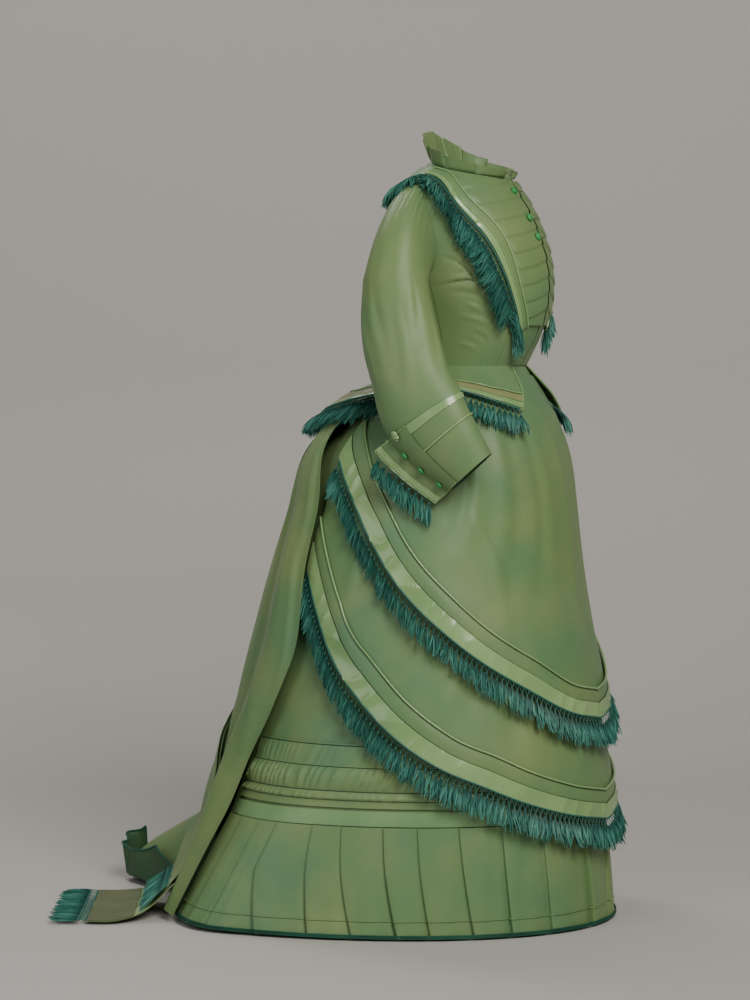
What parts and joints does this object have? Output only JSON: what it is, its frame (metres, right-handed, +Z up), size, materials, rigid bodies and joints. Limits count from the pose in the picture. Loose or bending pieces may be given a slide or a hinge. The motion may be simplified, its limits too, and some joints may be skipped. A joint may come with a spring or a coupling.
{
  "type": "victorian bustle dress",
  "caption": "Hollow worn bustle dress in green silk: trained back drapery, fringed aprons, pleated hem flounce, fringed basque bodice with revers, bent sleeves and sash ends on the floor.",
  "frame": {"origin": "centre of the waist, at the waist seam's height, where the wearer holds the dress up", "axes": "+Z up, -Y towards the dress's front, -X towards the wearer's right"},
  "size_m": [0.8417, 1.0358, 1.4521],
  "materials": {
    "taffeta": "shot silk taffeta, soft sheen",
    "satin": "silk satin, bright sheen",
    "fringe": "silk floss, matt",
    "braid": "wool hem braid, matt",
    "button": "silk covered, soft sheen"
  },
  "bodies": {
    "root": {"back_drapery": "taffeta", "back_yoke": "taffeta", "back_yoke_fringe": "fringe", "bodice_back": "taffeta", "bodice_front_L": "taffeta", "bodice_front_R": "taffeta", "bretelle_L": "taffeta", "bretelle_R": "taffeta", "bretelle_fringe_L": "fringe", "bretelle_fringe_R": "fringe", "bretelle_satin_L": "satin", "bretelle_satin_R": "satin", "collar_ruffle": "taffeta", "cuff_L": "taffeta", "cuff_R": "taffeta", "cuff_button_L_1": "button", "cuff_button_L_2": "button", "cuff_button_L_3": "button", "cuff_button_R_1": "button", "cuff_button_R_2": "button", "cuff_button_R_3": "button", "cuff_fringe_L": "fringe", "cuff_fringe_R": "fringe", "cuff_lapel_L": "taffeta", "cuff_lapel_R": "taffeta", "cuff_satin_band_L": "satin", "cuff_satin_band_R": "satin", "front_button_1": "button", "front_button_2": "button", "front_button_3": "button", "hem_braid": "braid", "lower_apron": "taffeta", "lower_apron_fringe": "fringe", "lower_apron_satin_band": "satin", "peplum_back": "taffeta", "peplum_fringe_back": "fringe", "peplum_fringe_front_L": "fringe", "peplum_fringe_front_R": "fringe", "peplum_front_L": "taffeta", "peplum_front_R": "taffeta", "peplum_satin_back": "satin", "peplum_satin_front_L": "satin", "peplum_satin_front_R": "satin", "plastron_L": "taffeta", "plastron_R": "taffeta", "pleated_flounce": "taffeta", "ruched_puff": "taffeta", "sash_fringe_long": "fringe", "sash_fringe_short": "fringe", "sash_tail_long": "taffeta", "sash_tail_short": "taffeta", "skirt_satin_band": "satin", "sleeve_under_L": "taffeta", "sleeve_under_R": "taffeta", "sleeve_upper_L": "taffeta", "sleeve_upper_R": "taffeta", "underskirt": "taffeta", "upper_apron": "taffeta", "upper_apron_fringe": "fringe", "upper_apron_satin_band": "satin"}
  },
  "joints": []
}
